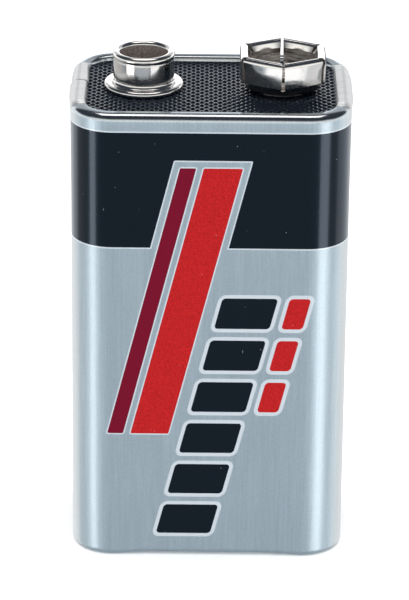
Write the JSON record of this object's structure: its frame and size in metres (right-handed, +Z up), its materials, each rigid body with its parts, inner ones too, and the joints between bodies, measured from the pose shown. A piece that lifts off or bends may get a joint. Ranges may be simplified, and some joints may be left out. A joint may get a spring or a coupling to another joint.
{
  "type": "nine volt battery",
  "caption": "Rectangular dry battery: a rolled steel jacket with a dark band round a block of small cells, with a snap stud and a hexagonal snap socket on a black board.",
  "frame": {"origin": "middle of the base", "axes": "+Z up through the terminals, -Y out of the printed front face, -X towards the positive stud and +X towards the negative socket"},
  "size_m": [0.026, 0.017, 0.0484],
  "materials": {
    "jacket_steel": "tin-plated sheet with a fine upright grain, a glossy near-black enamel band round the top quarter and a printed design of plain stripes and bars",
    "board_plastic": "near-black moulded plastic with an embossed net on the terminal board",
    "nickel_plate": "bright nickel plate on drawn steel",
    "rivet_metal": "dull nickel plate",
    "nickel_strip": "rolled nickel-plated strip",
    "cell_steel": "drawn nickel-plated steel",
    "shrink_sleeve": "plain dark blue shrink film",
    "nylon_seal": "natural nylon",
    "insulating_card": "pressed fibre card"
  },
  "bodies": {
    "root": {"jacket": "jacket_steel", "terminal_board": "board_plastic", "bottom_cover": "board_plastic", "positive_stud": "nickel_plate", "negative_socket": "nickel_plate", "positive_rivet": "rivet_metal", "negative_rivet": "rivet_metal", "positive_lead": "nickel_strip", "negative_lead": "nickel_strip", "top_insulator": "insulating_card", "bottom_insulator": "insulating_card", "bottom_link_1": "nickel_strip", "bottom_link_2": "nickel_strip", "bottom_link_3": "nickel_strip", "top_link_1": "nickel_strip", "top_link_2": "nickel_strip", "cell_1_can": "cell_steel", "cell_1_sleeve": "shrink_sleeve", "cell_1_seal": "nylon_seal", "cell_1_cap": "nickel_strip", "cell_2_can": "cell_steel", "cell_2_sleeve": "shrink_sleeve", "cell_2_seal": "nylon_seal", "cell_2_cap": "nickel_strip", "cell_3_can": "cell_steel", "cell_3_sleeve": "shrink_sleeve", "cell_3_seal": "nylon_seal", "cell_3_cap": "nickel_strip", "cell_4_can": "cell_steel", "cell_4_sleeve": "shrink_sleeve", "cell_4_seal": "nylon_seal", "cell_4_cap": "nickel_strip", "cell_5_can": "cell_steel", "cell_5_sleeve": "shrink_sleeve", "cell_5_seal": "nylon_seal", "cell_5_cap": "nickel_strip", "cell_6_can": "cell_steel", "cell_6_sleeve": "shrink_sleeve", "cell_6_seal": "nylon_seal", "cell_6_cap": "nickel_strip"}
  },
  "joints": []
}
